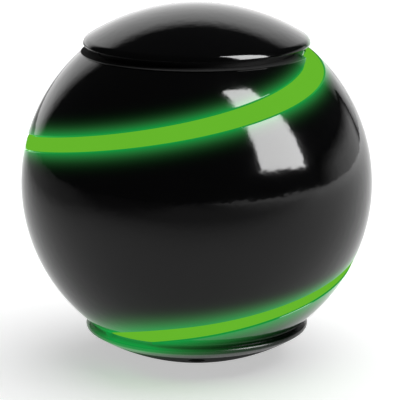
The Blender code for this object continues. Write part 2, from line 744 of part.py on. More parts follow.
def build_goal(plastic, brass, parent):
    lane_r = HUB_R + 1.5 * LANE + FENCE
    middle = polar(lane_r, 30 * MAZE[-1]["drop"][0][1] + 15)
    top = -STACK_TOP + RUNNING - GAP
    depth = 7.4
    cup_profile = [
        (0.0, top - depth), (5.9, top - depth), (6.4, top - depth + 0.5), (6.4, top), (5.2, top),
        (5.2, top - depth + 1.3), (0.0, top - depth + 1.3),
    ]
    cup = turned("goal_cup", cup_profile, 20, plastic, parent)
    cup.location = middle * MM
    floor = top - depth + 1.3 + GAP
    for name, side in (("goal_contact_left", -1), ("goal_contact_right", 1)):
        bm = box_mesh((1.8, 6.4, 0.5), (side * 1.9, 0, floor + 0.25))
        leaf = add_object(name, bm, brass, parent)
        leaf.location = middle * MM
    return middle, top - depth


def build_power(board_green, plastic, steel, brass, parent, door_axis):
    """Three button cells stacked in a tube, which hangs from the LED board."""
    board_top = BOARD_Z + 1.6
    tube_r = CELL_R + 0.4
    ring = [(7.6, BOARD_Z), (18.6, BOARD_Z), (18.6, board_top), (7.6, board_top)]
    board = turned("led_board", ring, 28, board_green, parent)
    for i in range(3):
        place = polar(BOARD_SCREW_R, 90 + 120 * i)
        hole = cylinder_mesh(1.1, BOARD_Z - 1, board_top + 1, place[:2])
        combine(board, cutter(f"board_hole_{i}", hole, parent), "DIFFERENCE")
        under_head = (place.x, place.y, board_top + GAP)
        screw(f"board_screw_{i + 1}", under_head, False, 4.8, 0.6, 1.6, 1.0, steel, parent)

    low = BASE_FLOOR_Z + 1.25
    roof = low + 3 * (CELL_H + GAP) + 0.9
    tube_profile = [
        (tube_r, low), (7.3, low), (7.3, board_top + GAP), (10.5, board_top + GAP), (10.5, board_top + 1.3),
        (7.3, board_top + 1.3), (7.3, roof + 1.2), (1.2, roof + 1.2), (1.2, roof), (tube_r, roof),
    ]
    turned("cell_tube", tube_profile, 20, plastic, parent)
    for i in range(3):
        bottom = low + i * (CELL_H + GAP)
        cell = [
            (0.0, bottom), (4.6, bottom), (4.9, bottom + 0.5), (CELL_R, bottom + 0.9),
            (CELL_R, bottom + CELL_H - 0.3), (CELL_R - 0.3, bottom + CELL_H), (0.0, bottom + CELL_H),
        ]
        turned(f"button_cell_{i + 1}", cell, 18, steel, parent)
    contact = [(0.0, roof - 0.9), (3.0, roof - 0.9), (5.0, roof - 0.5), (5.0, roof - GAP), (0.0, roof - GAP)]
    turned("cell_contact_upper", contact, 12, brass, parent)
    leaf_low = BASE_FLAT_Z + 0.1 + 1.5 + GAP
    leaf = [
        (0.0, low - GAP - 0.5), (2.0, low - GAP - 0.5), (4.5, leaf_low), (5.6, leaf_low),
        (5.6, leaf_low + 0.3), (4.7, leaf_low + 0.3), (2.2, low - GAP), (0.0, low - GAP),
    ]
    turned("cell_contact_lower", leaf, 14, brass, door_axis)


def build_leads(material, parent, goal_middle, goal_low):
    """Two-core leads from the board to both LEDs and to the goal cup."""
    board_end = BOARD_Z + 1.6 + GAP
    azimuth, latitude = -LED_TURNS[0], ribbon_latitude(LED_TURNS[0])
    upper = [on_sphere(42.9, azimuth, latitude), on_sphere(41.6, azimuth, latitude)]
    for radius, z, turn in (
        (31.8, 27.6, 0), (34.6, 27.4, 0), (37.2, 25.9, 0), (38.9, 22.8, 0), (41.5, 17.8, 0),
        (44.0, 13.6, 0), (44.5, 7.0, 0), (44.6, 0.0, 0), (44.5, -7.0, 0), (44.0, -13.8, 0),
        (41.0, -18.8, 0), (36.0, -25.5, 2), (29.0, -31.0, 8), (21.5, -33.6, 14), (16.5, -36.8, 18),
        (14.8, board_end, 20),
    ):
        upper.append(polar(radius, azimuth + turn, z))
    wire("upper_led_lead", smooth_route(upper, 2), 0.35, material, parent)

    azimuth, latitude = -LED_TURNS[1], ribbon_latitude(LED_TURNS[1])
    lower = [on_sphere(42.9, azimuth, latitude), on_sphere(41.4, azimuth, latitude)]
    for radius, z in ((25.5, -28.9), (19.5, -31.5), (15.8, -35.6), (14.8, board_end)):
        lower.append(polar(radius, azimuth, z))
    wire("lower_led_lead", smooth_route(lower, 3), 0.35, material, parent)

    start = goal_middle + Vector((0, 0, goal_low - GAP))
    angle = math.degrees(math.atan2(start.y, start.x))
    goal = [start, start - Vector((0, 0, 1.4))]
    for radius, z in ((18.6, -35.6), (16.2, -37.6), (14.8, board_end)):
        goal.append(polar(radius, angle, z))
    wire("goal_lead", smooth_route(goal, 3), 0.35, material, parent)


# ---------------------------------------------------------------- assembly

def main():
    clear_scene()
    gloss_black = make_material("gloss_black", (0.008, 0.008, 0.009), 0.06)
    ribbon_green = make_material("ribbon_green", (0.130, 0.462, 0.024), 0.30)
    graphite = make_material("graphite", (0.060, 0.062, 0.068), 0.45)
    lime = make_material("lime", (0.20, 0.48, 0.05), 0.40)
    steel = make_material("steel", (0.62, 0.63, 0.65), 0.18, 1.0)
    brass = make_material("brass", (0.78, 0.57, 0.25), 0.28, 1.0)
    rubber = make_material("rubber", (0.02, 0.02, 0.02), 0.80)
    board_green = make_material("board_green", (0.01, 0.16, 0.06), 0.40)
    led_clear = make_material("led_clear", (0.35, 0.85, 0.30), 0.10)
    lead_black = make_material("lead_black", (0.025, 0.025, 0.028), 0.50)

    centre = make_empty("ball_centre", location=(0, 0, -FOOT_Z))
    spindle_axis = make_empty("spindle_axis", centre)
    cap_axis = make_empty("cap_axis", spindle_axis)
    door_axis = make_empty("door_axis", centre)
    steel_axis = make_empty("steel_ball_axis", centre)

    upper = build_shell_upper(gloss_black, centre)
    lower = build_shell_lower(gloss_black, centre)
    build_leds((upper, lower), led_clear, centre)
    build_ribbon(ribbon_green, centre)
    groove = ribbon_mesh(GROOVE_FLOOR_R, BALL_R + 2.0, math.degrees(GAP / BALL_R))
    groove_cutter = cutter("ribbon_groove", groove, centre)
    combine(upper, groove_cutter, "DIFFERENCE")
    combine(lower, groove_cutter, "DIFFERENCE")

    build_top_cap(gloss_black, rubber, steel, cap_axis)
    build_base(gloss_black, rubber, steel, centre)
    build_door(gloss_black, door_axis)
    build_start_deck(graphite, steel, centre)
    for index in range(LEVELS):
        build_level(index, (graphite, lime), centre, spindle_axis)
    build_spindle(steel, brass, centre, spindle_axis)
    goal_middle, goal_low = build_goal(graphite, brass, centre)
    build_power(board_green, graphite, steel, brass, centre, door_axis)
    build_leads(lead_black, centre, goal_middle, goal_low)

    bm = bmesh.new()
    bmesh.ops.create_icosphere(bm, subdivisions=2, radius=STEEL_R)
    deck_top = STACK_TOP + RUNNING + PLATE
    lane_middle = HUB_R + 1.5 * LANE + FENCE
    place = polar(lane_middle, START_ANGLE, deck_top + STEEL_R + 0.05)
    bmesh.ops.translate(bm, vec=place, verts=bm.verts[:])
    add_object("steel_ball", bm, steel, steel_axis, smooth=60.0)


main()
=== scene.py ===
import math

import bmesh
import bpy
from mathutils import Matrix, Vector


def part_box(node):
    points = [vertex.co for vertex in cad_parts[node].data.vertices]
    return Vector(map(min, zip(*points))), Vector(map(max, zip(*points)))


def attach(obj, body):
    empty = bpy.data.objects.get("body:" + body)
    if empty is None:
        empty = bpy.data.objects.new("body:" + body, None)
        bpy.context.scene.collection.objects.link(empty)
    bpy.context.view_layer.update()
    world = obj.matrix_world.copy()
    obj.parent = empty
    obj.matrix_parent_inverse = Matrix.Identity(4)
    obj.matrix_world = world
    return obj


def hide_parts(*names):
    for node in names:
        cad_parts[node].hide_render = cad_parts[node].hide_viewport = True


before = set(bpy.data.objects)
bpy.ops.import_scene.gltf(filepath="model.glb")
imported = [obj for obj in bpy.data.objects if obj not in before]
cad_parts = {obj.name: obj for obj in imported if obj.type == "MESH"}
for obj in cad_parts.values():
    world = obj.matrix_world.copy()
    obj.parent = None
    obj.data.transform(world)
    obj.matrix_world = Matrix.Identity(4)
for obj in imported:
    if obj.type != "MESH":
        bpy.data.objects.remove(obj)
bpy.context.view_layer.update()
mm = 0.001
sceneNow = bpy.context.scene

_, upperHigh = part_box("body_shell_upper")
lowerLow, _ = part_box("body_shell_lower")
capLow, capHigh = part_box("top_cap_dome")
dishLow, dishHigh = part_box("base_dish")
ballR = upperHigh.x
centreZ = ballR                       # the ball stands on its foot ring at z = 0
ballCentre = Vector((0, 0, centreZ))
shoulderZ, underZ = upperHigh.z, lowerLow.z
print("frame loaded, ball radius", round(ballR / mm, 2), "mm")

# The light strip winds down the ball. Turn is measured clockwise seen from above, in degrees.
strip = {
    "topLatitude": 50.2, "fall": 0.2017, "lean": 2.5, "halfWidth": 2.25, "flare": 2.3,
    "tailTurn": 455.0, "tailBend": 0.0018, "grooveGap": 0.34, "floorR": 48.4 * mm, "outerR": 49.86 * mm,
}
strip["turns"] = 2 * strip["topLatitude"] / strip["fall"]

skin = {
    "radius": ballR - 0.02 * mm, "step": 1.5, "firstTurn": -375.0, "lastTurn": 515.5,
    "rows": 44, "limit": 53.0, "edgeRound": 0.16 * mm, "wall": 1.2 * mm, "neckR": 28.0 * mm,
    "neckDepth": 2.2 * mm, "flangeR": 22.0 * mm, "rimRound": 0.3 * mm,
}


def stripLatitude(turn):
    tail = strip["tailBend"] * max(turn - strip["tailTurn"], 0.0) ** 2
    return strip["topLatitude"] - strip["fall"] * turn - strip["lean"] * math.sin(math.radians(turn)) - tail


def stripHalf(turn):
    away = abs(2 * turn / strip["turns"] - 1)
    return strip["halfWidth"] + strip["flare"] * min(away, 1.0) ** 3


def onBall(radius, turn, latitude):
    a, l = math.radians(-turn), math.radians(latitude)
    flat = radius * math.cos(l)
    return ballCentre + Vector((flat * math.cos(a), flat * math.sin(a), radius * math.sin(l)))


# ---- shader maths

class Wire:  # one socket, so that shader maths reads as plain sums
    def __init__(self, board, socket):
        self.board, self.socket = board, socket

    def math(self, operation, *others):
        values = dict(enumerate((self, *others)))
        return self.board.node("ShaderNodeMath", {"operation": operation}, values)

    def __add__(self, other):
        return self.math("ADD", other)

    def __sub__(self, other):
        return self.math("SUBTRACT", other)

    def __rsub__(self, other):
        return self.board.node("ShaderNodeMath", {"operation": "SUBTRACT"}, {0: other, 1: self})

    def __mul__(self, other):
        return self.math("MULTIPLY", other)

    def __truediv__(self, other):
        return self.math("DIVIDE", other)

    def __rtruediv__(self, other):
        return self.board.node("ShaderNodeMath", {"operation": "DIVIDE"}, {0: other, 1: self})

    def __pow__(self, other):
        return self.math("POWER", other)

    def __neg__(self):
        return self.math("MULTIPLY", -1.0)

    def __abs__(self):
        return self.math("ABSOLUTE")

    __radd__ = __add__
    __rmul__ = __mul__

    def least(self, other):
        return self.math("MINIMUM", other)

    def most(self, other):
        return self.math("MAXIMUM", other)

    def ramp(self, low, high, out0=0.0, out1=1.0):  # smooth step from one level to another
        kind = {"interpolation_type": "SMOOTHSTEP"}
        return self.board.node("ShaderNodeMapRange", kind, {0: self, 1: low, 2: high, 3: out0, 4: out1})


class Board:  # one material and the nodes on it
    def __init__(self, name, roughness=0.4, metallic=0.0, specular=0.5):
        self.material = bpy.data.materials.new(name)
        self.material.use_nodes = True
        self.tree = self.material.node_tree
        self.shader = self.tree.nodes["Principled BSDF"]
        self.set("Roughness", roughness)
        self.set("Metallic", metallic)
        self.set("Specular IOR Level", specular)
        self.place = self.node("ShaderNodeTexCoord", output="Object")

    def node(self, kind, settings=None, values=None, output=0):
        made = self.tree.nodes.new(kind)
        for name, value in (settings or {}).items():
            setattr(made, name, value)
        for name, value in (values or {}).items():
            self.join(value, made.inputs[name])
        return Wire(self, made.outputs[output])

    def join(self, value, socket):
        if isinstance(value, Wire):
            self.tree.links.new(value.socket, socket)
        else:
            socket.default_value = value

    def set(self, name, value):
        self.join(value, self.shader.inputs[name])

    def noise(self, scale, detail=2.0, rough=0.5):
        return self.node("ShaderNodeTexNoise", None, {
            "Vector": self.place, "Scale": scale, "Detail": detail, "Roughness": rough})

    def mix(self, factor, first, second):
        socket = {0: factor, 6: first, 7: second}
        return self.node("ShaderNodeMix", {"data_type": "RGBA"}, socket, output=2)

    def xyz(self):
        moved = self.node("ShaderNodeVectorMath", {"operation": "SUBTRACT"}, {0: self.place, 1: ballCentre})
        apart = self.tree.nodes.new("ShaderNodeSeparateXYZ")
        self.join(moved, apart.inputs[0])
        return [Wire(self, apart.outputs[i]) for i in range(3)]

    def bump(self, height, distance, strength=1.0):
        return self.node("ShaderNodeBump", None, {
            "Height": height, "Distance": distance, "Strength": strength})


def rgb(r, g, b):
    return (r, g, b, 1.0)


glow = {  # light that the strip throws on the lacquer beside it
    "near": rgb(0.003, 0.285, 0.046), "far": rgb(0.040, 0.285, 0.060),
    "reach": 1.85, "curve": 1.36, "mmPerDegree": 0.873 * 0.97,
    "lowEdge": -51.6, "highEdge": 49.8, "spill": 0.9, "endFade": 0.25,
    "lowBand": (-46, -18), "lowReach": 2.7,
}


def stripGlow(board):
    x, y, z = board.xyz()
    degrees = 180 / math.pi
    long = (x * x + y * y + z * z).math("SQRT")
    latitude = (z / long).math("ARCSINE") * degrees
    turn = y.math("ARCTAN2", x) * -degrees
    turn = turn + turn.math("LESS_THAN", 0.0) * 360
    beyond = (glow["lowEdge"] - latitude).most(latitude - glow["highEdge"]).most(0.0)  # past the body's edges
    nearest = None
    for lap in (-1, 0, 1):
        here = turn + 360.0 * lap
        held = here.most(0.0).least(strip["turns"])
        tail = (held - strip["tailTurn"]).most(0.0)
        sway = (held * (1 / degrees)).math("SINE") * strip["lean"] + tail * tail * strip["tailBend"]
        middle = strip["topLatitude"] - held * strip["fall"] - sway
        away = abs(held * (2 / strip["turns"]) - 1.0)
        half = away * away * away * strip["flare"] + strip["halfWidth"]
        past = (0.0 - here).most(here - strip["turns"]).most(0.0)      # beyond the strip's own ends
        gap = (abs(latitude - middle) - half).most(0.0) + past * glow["endFade"] + beyond * glow["spill"]
        nearest = gap if nearest is None else nearest.least(gap)
    reach = latitude.ramp(*glow["lowBand"], glow["reach"] * glow["lowReach"], glow["reach"])
    falloff = (-((nearest * glow["mmPerDegree"] / reach) ** glow["curve"])).math("EXPONENT")
    tint = board.mix(falloff, glow["far"], glow["near"])
    return board.mix(falloff, rgb(0, 0, 0), tint)


lacquer = {
    "colour": rgb(0.0022, 0.0022, 0.0024), "cloud": rgb(0.0030, 0.0030, 0.0031), "specular": 0.24,
    "roughness": (0.07, 0.10), "baseRoughness": (0.26, 0.32),
    "peelSize": 420, "peelHeight": 0.000024, "waveSize": 110, "waveHeight": 0.00002, "landRoughness": 0.9,
}


def makeLacquer(name, roughness, glowing=True):  # polished outside, with the openings' hidden lands left dull
    board = Board(name, specular=lacquer["specular"])
    board.set("Base Color", board.mix(board.noise(70), lacquer["colour"], lacquer["cloud"]))
    polish = board.noise(160, 4).ramp(0.35, 0.75, *roughness)
    x, y, z = board.xyz()
    ring = (x * x + y * y).math("SQRT")
    edge, top, under = 0.05 * mm, shoulderZ - centreZ, underZ - centreZ
    topLand = z.math("GREATER_THAN", top - edge) * z.math("LESS_THAN", top + edge)
    lowLand = z.math("GREATER_THAN", under - edge) * z.math("LESS_THAN", under + 6 * edge)
    neck = ring.math("LESS_THAN", skin["neckR"] + 0.3 * mm) * z.math("LESS_THAN", top + edge)
    land = topLand.most(lowLand).most(neck)
    board.set("Roughness", polish + land * (lacquer["landRoughness"] - polish))
    peel = board.noise(lacquer["peelSize"], 1) * lacquer["peelHeight"]
    wave = board.noise(lacquer["waveSize"], 1) * lacquer["waveHeight"]
    board.set("Normal", board.bump((peel + wave) * 1000, mm))
    if glowing:
        board.set("Emission Color", stripGlow(board))
        board.set("Emission Strength", 1.0)
    return board.material


def makeStripLight():
    board = Board("lit_strip", roughness=0.6, specular=0.0)
    cloud = board.noise(45, 2)
    board.set("Base Color", board.mix(cloud, rgb(0.004, 0.014, 0.001), rgb(0.006, 0.020, 0.002)))
    board.set("Emission Color", board.mix(cloud, rgb(0.126, 0.450, 0.023), rgb(0.133, 0.468, 0.025)))
    board.set("Emission Strength", 1.0)
    return board.material


def makeMoulded(name, first, second, roughness, specular=0.5, grain=900, depth=0.00001):
    board = Board(name, specular=specular)
    board.set("Base Color", board.mix(board.noise(60, 3).ramp(0.3, 0.7), first, second))
    board.set("Roughness", board.noise(220, 4).ramp(0.3, 0.7, roughness - 0.06, roughness + 0.06))
    board.set("Normal", board.bump(board.noise(grain, 3), depth))
    return board.material


def makeMetal(name, first, second, roughness, grain=500, depth=0.000004):
    board = Board(name, metallic=1.0)
    board.set("Base Color", board.mix(board.noise(90, 4).ramp(0.3, 0.7), first, second))
    board.set("Roughness", board.noise(300, 5).ramp(0.3, 0.7, roughness - 0.05, roughness + 0.08))
    board.set("Normal", board.bump(board.noise(grain, 3), depth))
    return board.material


lacquerBody = makeLacquer("gloss_black_lacquer", lacquer["roughness"])
lacquerBase = makeLacquer("gloss_black_base", lacquer["baseRoughness"])
lacquerPlain = makeLacquer("gloss_black_plain", lacquer["roughness"], glowing=False)
litStrip = makeStripLight()
finishes = {
    "gloss_black": lacquerPlain,
    "ribbon_green": litStrip,
    "graphite": makeMoulded("graphite_moulded", rgb(0.050, 0.051, 0.056), rgb(0.068, 0.070, 0.077), 0.42),
    "lime": makeMoulded("lime_moulded", rgb(0.185, 0.46, 0.045), rgb(0.215, 0.50, 0.055), 0.38),
    "steel": makeMetal("ball_steel", rgb(0.62, 0.63, 0.65), rgb(0.56, 0.57, 0.59), 0.10),
    "zinc_steel": makeMetal("zinc_plate", rgb(0.55, 0.56, 0.58), rgb(0.47, 0.48, 0.51), 0.30),
    "brass": makeMetal("spring_brass", rgb(0.78, 0.57, 0.25), rgb(0.68, 0.48, 0.19), 0.25),
    "rubber": makeMoulded("foot_rubber", rgb(0.012, 0.012, 0.013), rgb(0.020, 0.020, 0.021), 0.75, 0.3),
    "board_green": makeMoulded("board_green", rgb(0.010, 0.085, 0.030), rgb(0.016, 0.110, 0.040), 0.45),
    "led_clear": makeMoulded("led_clear", rgb(0.50, 0.62, 0.50), rgb(0.60, 0.70, 0.58), 0.15),
    "lead_black": makeMoulded("lead_black", rgb(0.006, 0.006, 0.007), rgb(0.010, 0.010, 0.011), 0.55, 0.2),
}
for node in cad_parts.values():
    slotName = node.data.materials[0].name.split(".")[0]
    node.data.materials[0] = finishes[slotName]
print("finishes made")


# ---- modelling helpers

def clearSelection():
    if bpy.context.mode != "OBJECT":
        bpy.ops.object.mode_set(mode="OBJECT")
    bpy.ops.object.select_all(action="DESELECT")


def pickOnly(piece):
    clearSelection()
    bpy.context.view_layer.objects.active = piece
    piece.select_set(True)


def finishPiece(piece, material, body, slotName, angle=32, *replaced):
    pickOnly(piece)
    bpy.ops.object.transform_apply(location=True, rotation=True, scale=True)
    bpy.ops.object.shade_smooth_by_angle(angle=math.radians(angle))
    piece.data.materials.clear()
    piece.data.materials.append(material)
    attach(piece, body)
    if replaced:
        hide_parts(*replaced)
    print(piece.name, len(piece.data.polygons), "faces")


def applyModifier(piece, kind, **settings):
    pickOnly(piece)
    made = piece.modifiers.new(kind.lower(), kind)
    for name, value in settings.items():
        setattr(made, name, value)
    bpy.ops.object.modifier_apply(modifier=made.name)


def arc(centreR, centreZ, radius, start, end, steps):
    angles = [math.radians(start + (end - start) * i / steps) for i in range(steps + 1)]
    return [(centreR + radius * math.cos(a), centreZ + radius * math.sin(a)) for a in angles]


def turnUp(name, profile, sides):  # a ring drawn out and resized from point to point of a profile
    clearSelection()
    (r, z), *rest = profile
    bpy.ops.mesh.primitive_circle_add(vertices=sides, radius=r, location=(0, 0, z))
    piece = bpy.context.object
    piece.name = name
    bpy.ops.object.transform_apply(location=True)
    bpy.ops.object.mode_set(mode="EDIT")
    bpy.ops.mesh.select_mode(type="VERT")
    bpy.ops.mesh.select_all(action="SELECT")
    for nextR, nextZ in rest:
        bpy.ops.mesh.extrude_edges_move(TRANSFORM_OT_translate={"value": (0, 0, nextZ - z)})
        bpy.ops.transform.resize(value=(nextR / r, nextR / r, 1), center_override=(0, 0, nextZ))
        r, z = nextR, nextZ
    bpy.ops.object.mode_set(mode="OBJECT")
    return piece


def closePole(piece, z, radius):  # fans the small ring at one end of a turned piece to a point
    pickOnly(piece)
    bpy.ops.object.mode_set(mode="EDIT")
    bpy.ops.mesh.select_all(action="DESELECT")
    net = bmesh.from_edit_mesh(piece.data)
    for v in net.verts:
        v.select = abs(v.co.z - z) < 1e-6 and math.hypot(v.co.x, v.co.y) < radius * 1.01
    net.select_flush_mode()
    bmesh.update_edit_mesh(piece.data)
    bpy.ops.mesh.extrude_edges_move(TRANSFORM_OT_translate={"value": (0, 0, 0)})
    bpy.ops.mesh.merge(type="CENTER")
    bpy.ops.object.mode_set(mode="OBJECT")


def makeSound(piece):  # doubles merged and faces turned outwards
    pickOnly(piece)
    bpy.ops.object.mode_set(mode="EDIT")
    bpy.ops.mesh.select_all(action="SELECT")
    bpy.ops.mesh.remove_doubles(threshold=1e-6)
    bpy.ops.mesh.normals_make_consistent(inside=False)
    bpy.ops.object.mode_set(mode="OBJECT")


def cutWith(piece, tool, operation="DIFFERENCE"):
    applyModifier(piece, "BOOLEAN", object=tool, operation=operation, solver="EXACT")
    bpy.data.objects.remove(tool)


def rod(radius, low, high, x, y, sides=48):
    clearSelection()
    middle = (x, y, (low + high) / 2)
    bpy.ops.mesh.primitive_cylinder_add(vertices=sides, radius=radius, depth=high - low, location=middle)
    return bpy.context.object


def screwPlaces(radius):  # three screws, evenly round the axis
    turns = [math.radians(a) for a in (30, 150, 270)]
    return [(radius * math.cos(a), radius * math.sin(a)) for a in turns]


# ---- body: one skin wound round the ball between the laps of the groove

def bandEdges(turn):
    spare = strip["grooveGap"]
    top = stripLatitude(turn) - stripHalf(turn) - spare
    after = turn + 360.0
    low = stripLatitude(after) + stripHalf(after) + spare
    lowFar = stripLatitude(after) - stripHalf(after) - spare
    limit = skin["limit"]
    return [max(-limit, min(limit, lat)) for lat in (top, low, lowFar)]


def skinColumn(turn):
    top, low, lowFar = bandEdges(turn)
    low = min(low, top)
    fillet = math.degrees(skin["edgeRound"] / skin["radius"])
    sink = skin["edgeRound"]
    points = [(strip["floorR"], top), (skin["radius"] - sink, top)]
    points.append((skin["radius"] - 0.3 * sink, top - fillet * 0.3))
    if low > top - 3 * fillet:
        fillet = 0.0
    first, last = top - fillet, low + fillet
    for i in range(skin["rows"] + 1):
        points.append((skin["radius"], first + (last - first) * i / skin["rows"]))
    points += [(skin["radius"] - 0.3 * sink, low + fillet * 0.3), (skin["radius"] - sink, low)]
    points += [(strip["floorR"], low), (strip["floorR"], min(lowFar, low))]
    return points


def windSkin():
    clearSelection()
    columns = round((skin["lastTurn"] - skin["firstTurn"]) / skin["step"])
    across = len(skinColumn(0.0)) - 1
    bpy.ops.mesh.primitive_grid_add(x_subdivisions=columns, y_subdivisions=across, size=2)
    piece = bpy.context.object
    for v in piece.data.vertices:
        column = round((v.co.x + 1) / 2 * columns)
        row = round((v.co.y + 1) / 2 * across)
        turn = skin["firstTurn"] + column * skin["step"]
        radius, latitude = skinColumn(turn)[row]
        v.co = onBall(radius, turn, latitude)
    bpy.ops.object.mode_set(mode="EDIT")
    bpy.ops.mesh.select_all(action="SELECT")
    bpy.ops.mesh.remove_doubles(threshold=2e-6)
    bpy.ops.object.mode_set(mode="OBJECT")
    return piece


def slicePiece(piece, z, keepBelow, fill=False):
    pickOnly(piece)
    bpy.ops.object.mode_set(mode="EDIT")
    bpy.ops.mesh.select_all(action="SELECT")
    bpy.ops.mesh.bisect(
        plane_co=(0, 0, z), plane_no=(0, 0, 1), clear_outer=keepBelow, clear_inner=not keepBelow,
        use_fill=fill, threshold=1e-7,
    )
    bpy.ops.object.mode_set(mode="OBJECT")


def growRim(piece, z, stages):  # draws an open edge through rings of (shrink, fixed radius, height)
    pickOnly(piece)
    bpy.ops.object.mode_set(mode="EDIT")
    bpy.ops.mesh.select_mode(type="VERT")
    bpy.ops.mesh.select_all(action="DESELECT")
    net = bmesh.from_edit_mesh(piece.data)
    for v in net.verts:
        v.select = v.is_boundary and abs(v.co.z - z) < 2e-6
    net.select_flush_mode()
    bmesh.update_edit_mesh(piece.data)
    for shrink, fixedR, newZ in stages:
        bpy.ops.mesh.extrude_edges_move(TRANSFORM_OT_translate={"value": (0, 0, 0)})
        net = bmesh.from_edit_mesh(piece.data)
        for v in net.verts:
            if v.select:
                r = math.hypot(v.co.x, v.co.y)
                newR = fixedR if fixedR else r - shrink
                v.co = (v.co.x * newR / r, v.co.y * newR / r, newZ)
        bmesh.update_edit_mesh(piece.data)
    bpy.ops.object.mode_set(mode="OBJECT")


def trueNormals(piece):  # the outside reflects as one clean sphere, whatever the mesh's rows do
    mesh = piece.data
    normals = [Vector((0, 0, 0))] * len(mesh.loops)
    for face in mesh.polygons:
        outward = (face.center - ballCentre).normalized()
        if face.normal.dot(outward) < 0.995:
            continue
        for i in face.loop_indices:
            arm = mesh.vertices[mesh.loops[i].vertex_index].co - ballCentre
            if abs(arm.length - skin["radius"]) < 0.02 * mm:
                normals[i] = arm.normalized()
    mesh.normals_split_custom_set(normals)


wound = windSkin()
rimRound = skin["rimRound"]
slicePiece(wound, shoulderZ - rimRound, True)
slicePiece(wound, underZ + rimRound, False)
pickOnly(wound)
bpy.ops.object.duplicate()
lowerSkin = bpy.context.object
upperSkin = wound
upperSkin.name, lowerSkin.name = "upper_body_skin", "lower_body_skin"
slicePiece(upperSkin, centreZ, False)
slicePiece(lowerSkin, centreZ, True)
growRim(upperSkin, shoulderZ - rimRound, [
    (0.10 * mm - 0.21 * mm, None, shoulderZ - 0.12 * mm), (0.14 * mm, None, shoulderZ - 0.03 * mm),
    (0.22 * mm, None, shoulderZ), (0, skin["neckR"] + 0.25 * mm, shoulderZ),
    (0, skin["neckR"] + 0.07 * mm, shoulderZ - 0.07 * mm), (0, skin["neckR"], shoulderZ - 0.25 * mm),
    (0, skin["neckR"], shoulderZ - skin["neckDepth"]),
])
growRim(lowerSkin, underZ + rimRound, [
    (0.10 * mm - 0.21 * mm, None, underZ + 0.12 * mm), (0.14 * mm, None, underZ + 0.03 * mm),
    (0.22 * mm, None, underZ), (0, skin["flangeR"], underZ),
])
for shell, node in ((upperSkin, "body_shell_upper"), (lowerSkin, "body_shell_lower")):
    makeSound(shell)
    applyModifier(shell, "SOLIDIFY", thickness=skin["wall"], offset=-1, use_rim=True)
    finishPiece(shell, lacquerBody, "ball_body", "gloss_black", 32, node)
    trueNormals(shell)
print("body skins wound")


# ---- light strip

lightStrip = {"step": 1.5, "across": 12, "overrun": 9.0, "crown": 0.10 * mm, "edge": 0.12 * mm}


def windStrip():
    clearSelection()
    start, end = -lightStrip["overrun"], strip["turns"] + lightStrip["overrun"]
    columns, across = round((end - start) / lightStrip["step"]), lightStrip["across"]
    bpy.ops.mesh.primitive_grid_add(x_subdivisions=columns, y_subdivisions=across, size=2)
    piece = bpy.context.object
    piece.name = "lit_strip"
    for v in piece.data.vertices:
        turn = start + (v.co.x + 1) / 2 * (end - start)
        side = v.co.y
        radius = strip["outerR"] - lightStrip["crown"] * side ** 2 - lightStrip["edge"] * side ** 12
        v.co = onBall(radius, turn, stripLatitude(turn) - stripHalf(turn) * side)
    makeSound(piece)
    applyModifier(piece, "SOLIDIFY", thickness=1.0 * mm, offset=-1, use_rim=True)
    slicePiece(piece, shoulderZ - 0.1 * mm, True, fill=True)
    slicePiece(piece, underZ + 0.1 * mm, False, fill=True)
    return piece


glowStrip = windStrip()
makeSound(glowStrip)
finishPiece(glowStrip, litStrip, "ball_body", "ribbon_green", 40, "light_ribbon")


# ---- cap

cap = {
    "crownR": 58 * mm, "crownZ": centreZ - 6.8 * mm, "cornerR": 2.4 * mm, "wall": 1.8 * mm,
    "sides": 192, "lip": 0.35 * mm, "poleR": 0.6 * mm,
}


def crownProfile(rimR, rimZ, crownR, cornerR, steps, flip=1):
    # from the rim's lower edge round the corner and over the crown to the small ring at the pole
    crownZ = cap["crownZ"] - centreZ
    level = (rimZ - centreZ) * flip
    cornerX = rimR - cornerR
    cornerZ = crownZ + math.sqrt((crownR - cornerR) ** 2 - cornerX ** 2)
    join = math.degrees(math.atan2(cornerZ - crownZ, cornerX))
    start = math.degrees(math.asin((level + 0.3 * mm - cornerZ) / cornerR))
    corner = arc(cornerX, cornerZ, cornerR, start, join, 14)
    pole = math.degrees(math.acos(cap["poleR"] / crownR))
    crown = arc(0, crownZ, crownR, join, pole, steps)[1:]
    lip = [(corner[0][0] - cap["lip"], level), (corner[0][0] - 0.12 * mm, level + 0.05 * mm)]
    return [(r, centreZ + z * flip) for r, z in [*lip, *corner, *crown]]


def turnCap():
    rimR, rimZ = capHigh.x - 0.01 * mm, capLow.z
    outer = crownProfile(rimR, rimZ, cap["crownR"] - 0.01 * mm, cap["cornerR"], 40)
    inner = crownProfile(rimR - cap["wall"], rimZ, cap["crownR"] - cap["wall"], cap["cornerR"] - 1 * mm, 16)
    piece = turnUp("cap_skin", [*reversed(inner), *outer], cap["sides"])
    closePole(piece, inner[-1][1], cap["poleR"])
    closePole(piece, outer[-1][1], cap["poleR"])
    makeSound(piece)
    return piece


capSkin = turnCap()
finishPiece(capSkin, lacquerBody, "cap_body", "gloss_black", 32, "top_cap_dome")


linerLow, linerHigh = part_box("top_cap_liner")
liner = {
    "skirtOut": linerHigh.x, "skirtIn": 26 * mm, "hubR": 7.2 * mm, "socket": 7.6 * mm / math.sqrt(3),
    "sides": 144, "screwR": 18 * mm, "holeR": 1.2 * mm,
}


